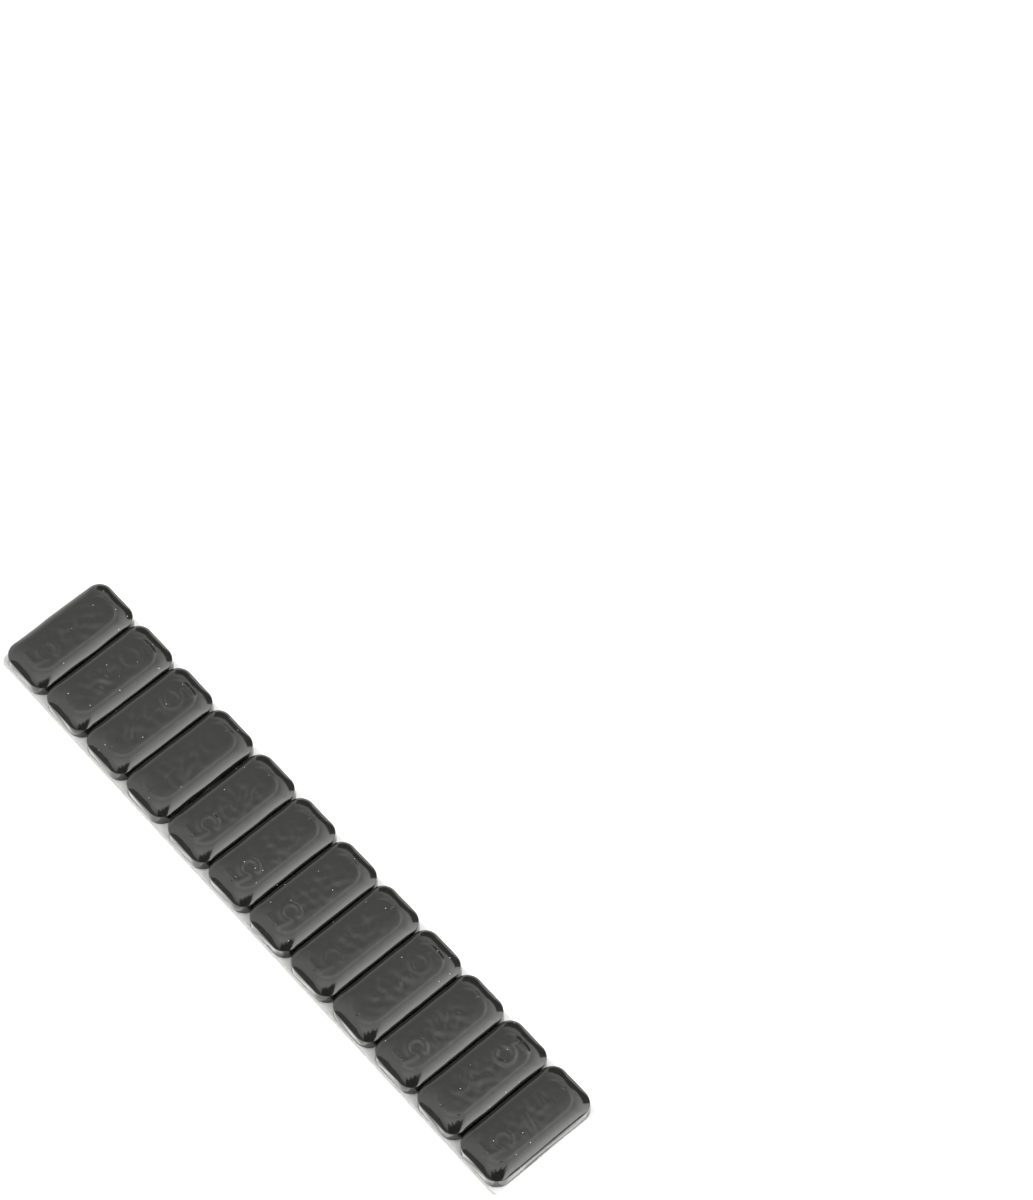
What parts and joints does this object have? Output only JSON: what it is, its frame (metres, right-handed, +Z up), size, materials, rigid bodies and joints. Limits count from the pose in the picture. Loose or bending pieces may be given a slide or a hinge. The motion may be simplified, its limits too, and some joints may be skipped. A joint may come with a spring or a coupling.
{
  "type": "wheel balance weight",
  "caption": "Stick-on wheel balance weight: a straight strip of black-coated metal blocks in a row on white foam tape.",
  "frame": {"origin": "middle of the liner's underside, on the surface that the strip is laid or stuck to", "axes": "+X along the strip from its first weight to its last, +Y across it, +Z up out of the weights' faces"},
  "size_m": [0.1116, 0.0194, 0.0045],
  "materials": {
    "coat": "thick glossy black coat over cast metal",
    "foam": "white closed-cell foam, cut edges",
    "liner": "smooth white siliconised liner"
  },
  "bodies": {
    "root": {"foam_tape": "foam", "release_liner": "liner", "weight_01": "coat", "weight_02": "coat", "weight_03": "coat", "weight_04": "coat", "weight_05": "coat", "weight_06": "coat", "weight_07": "coat", "weight_08": "coat", "weight_09": "coat", "weight_10": "coat", "weight_11": "coat", "weight_12": "coat"}
  },
  "joints": []
}
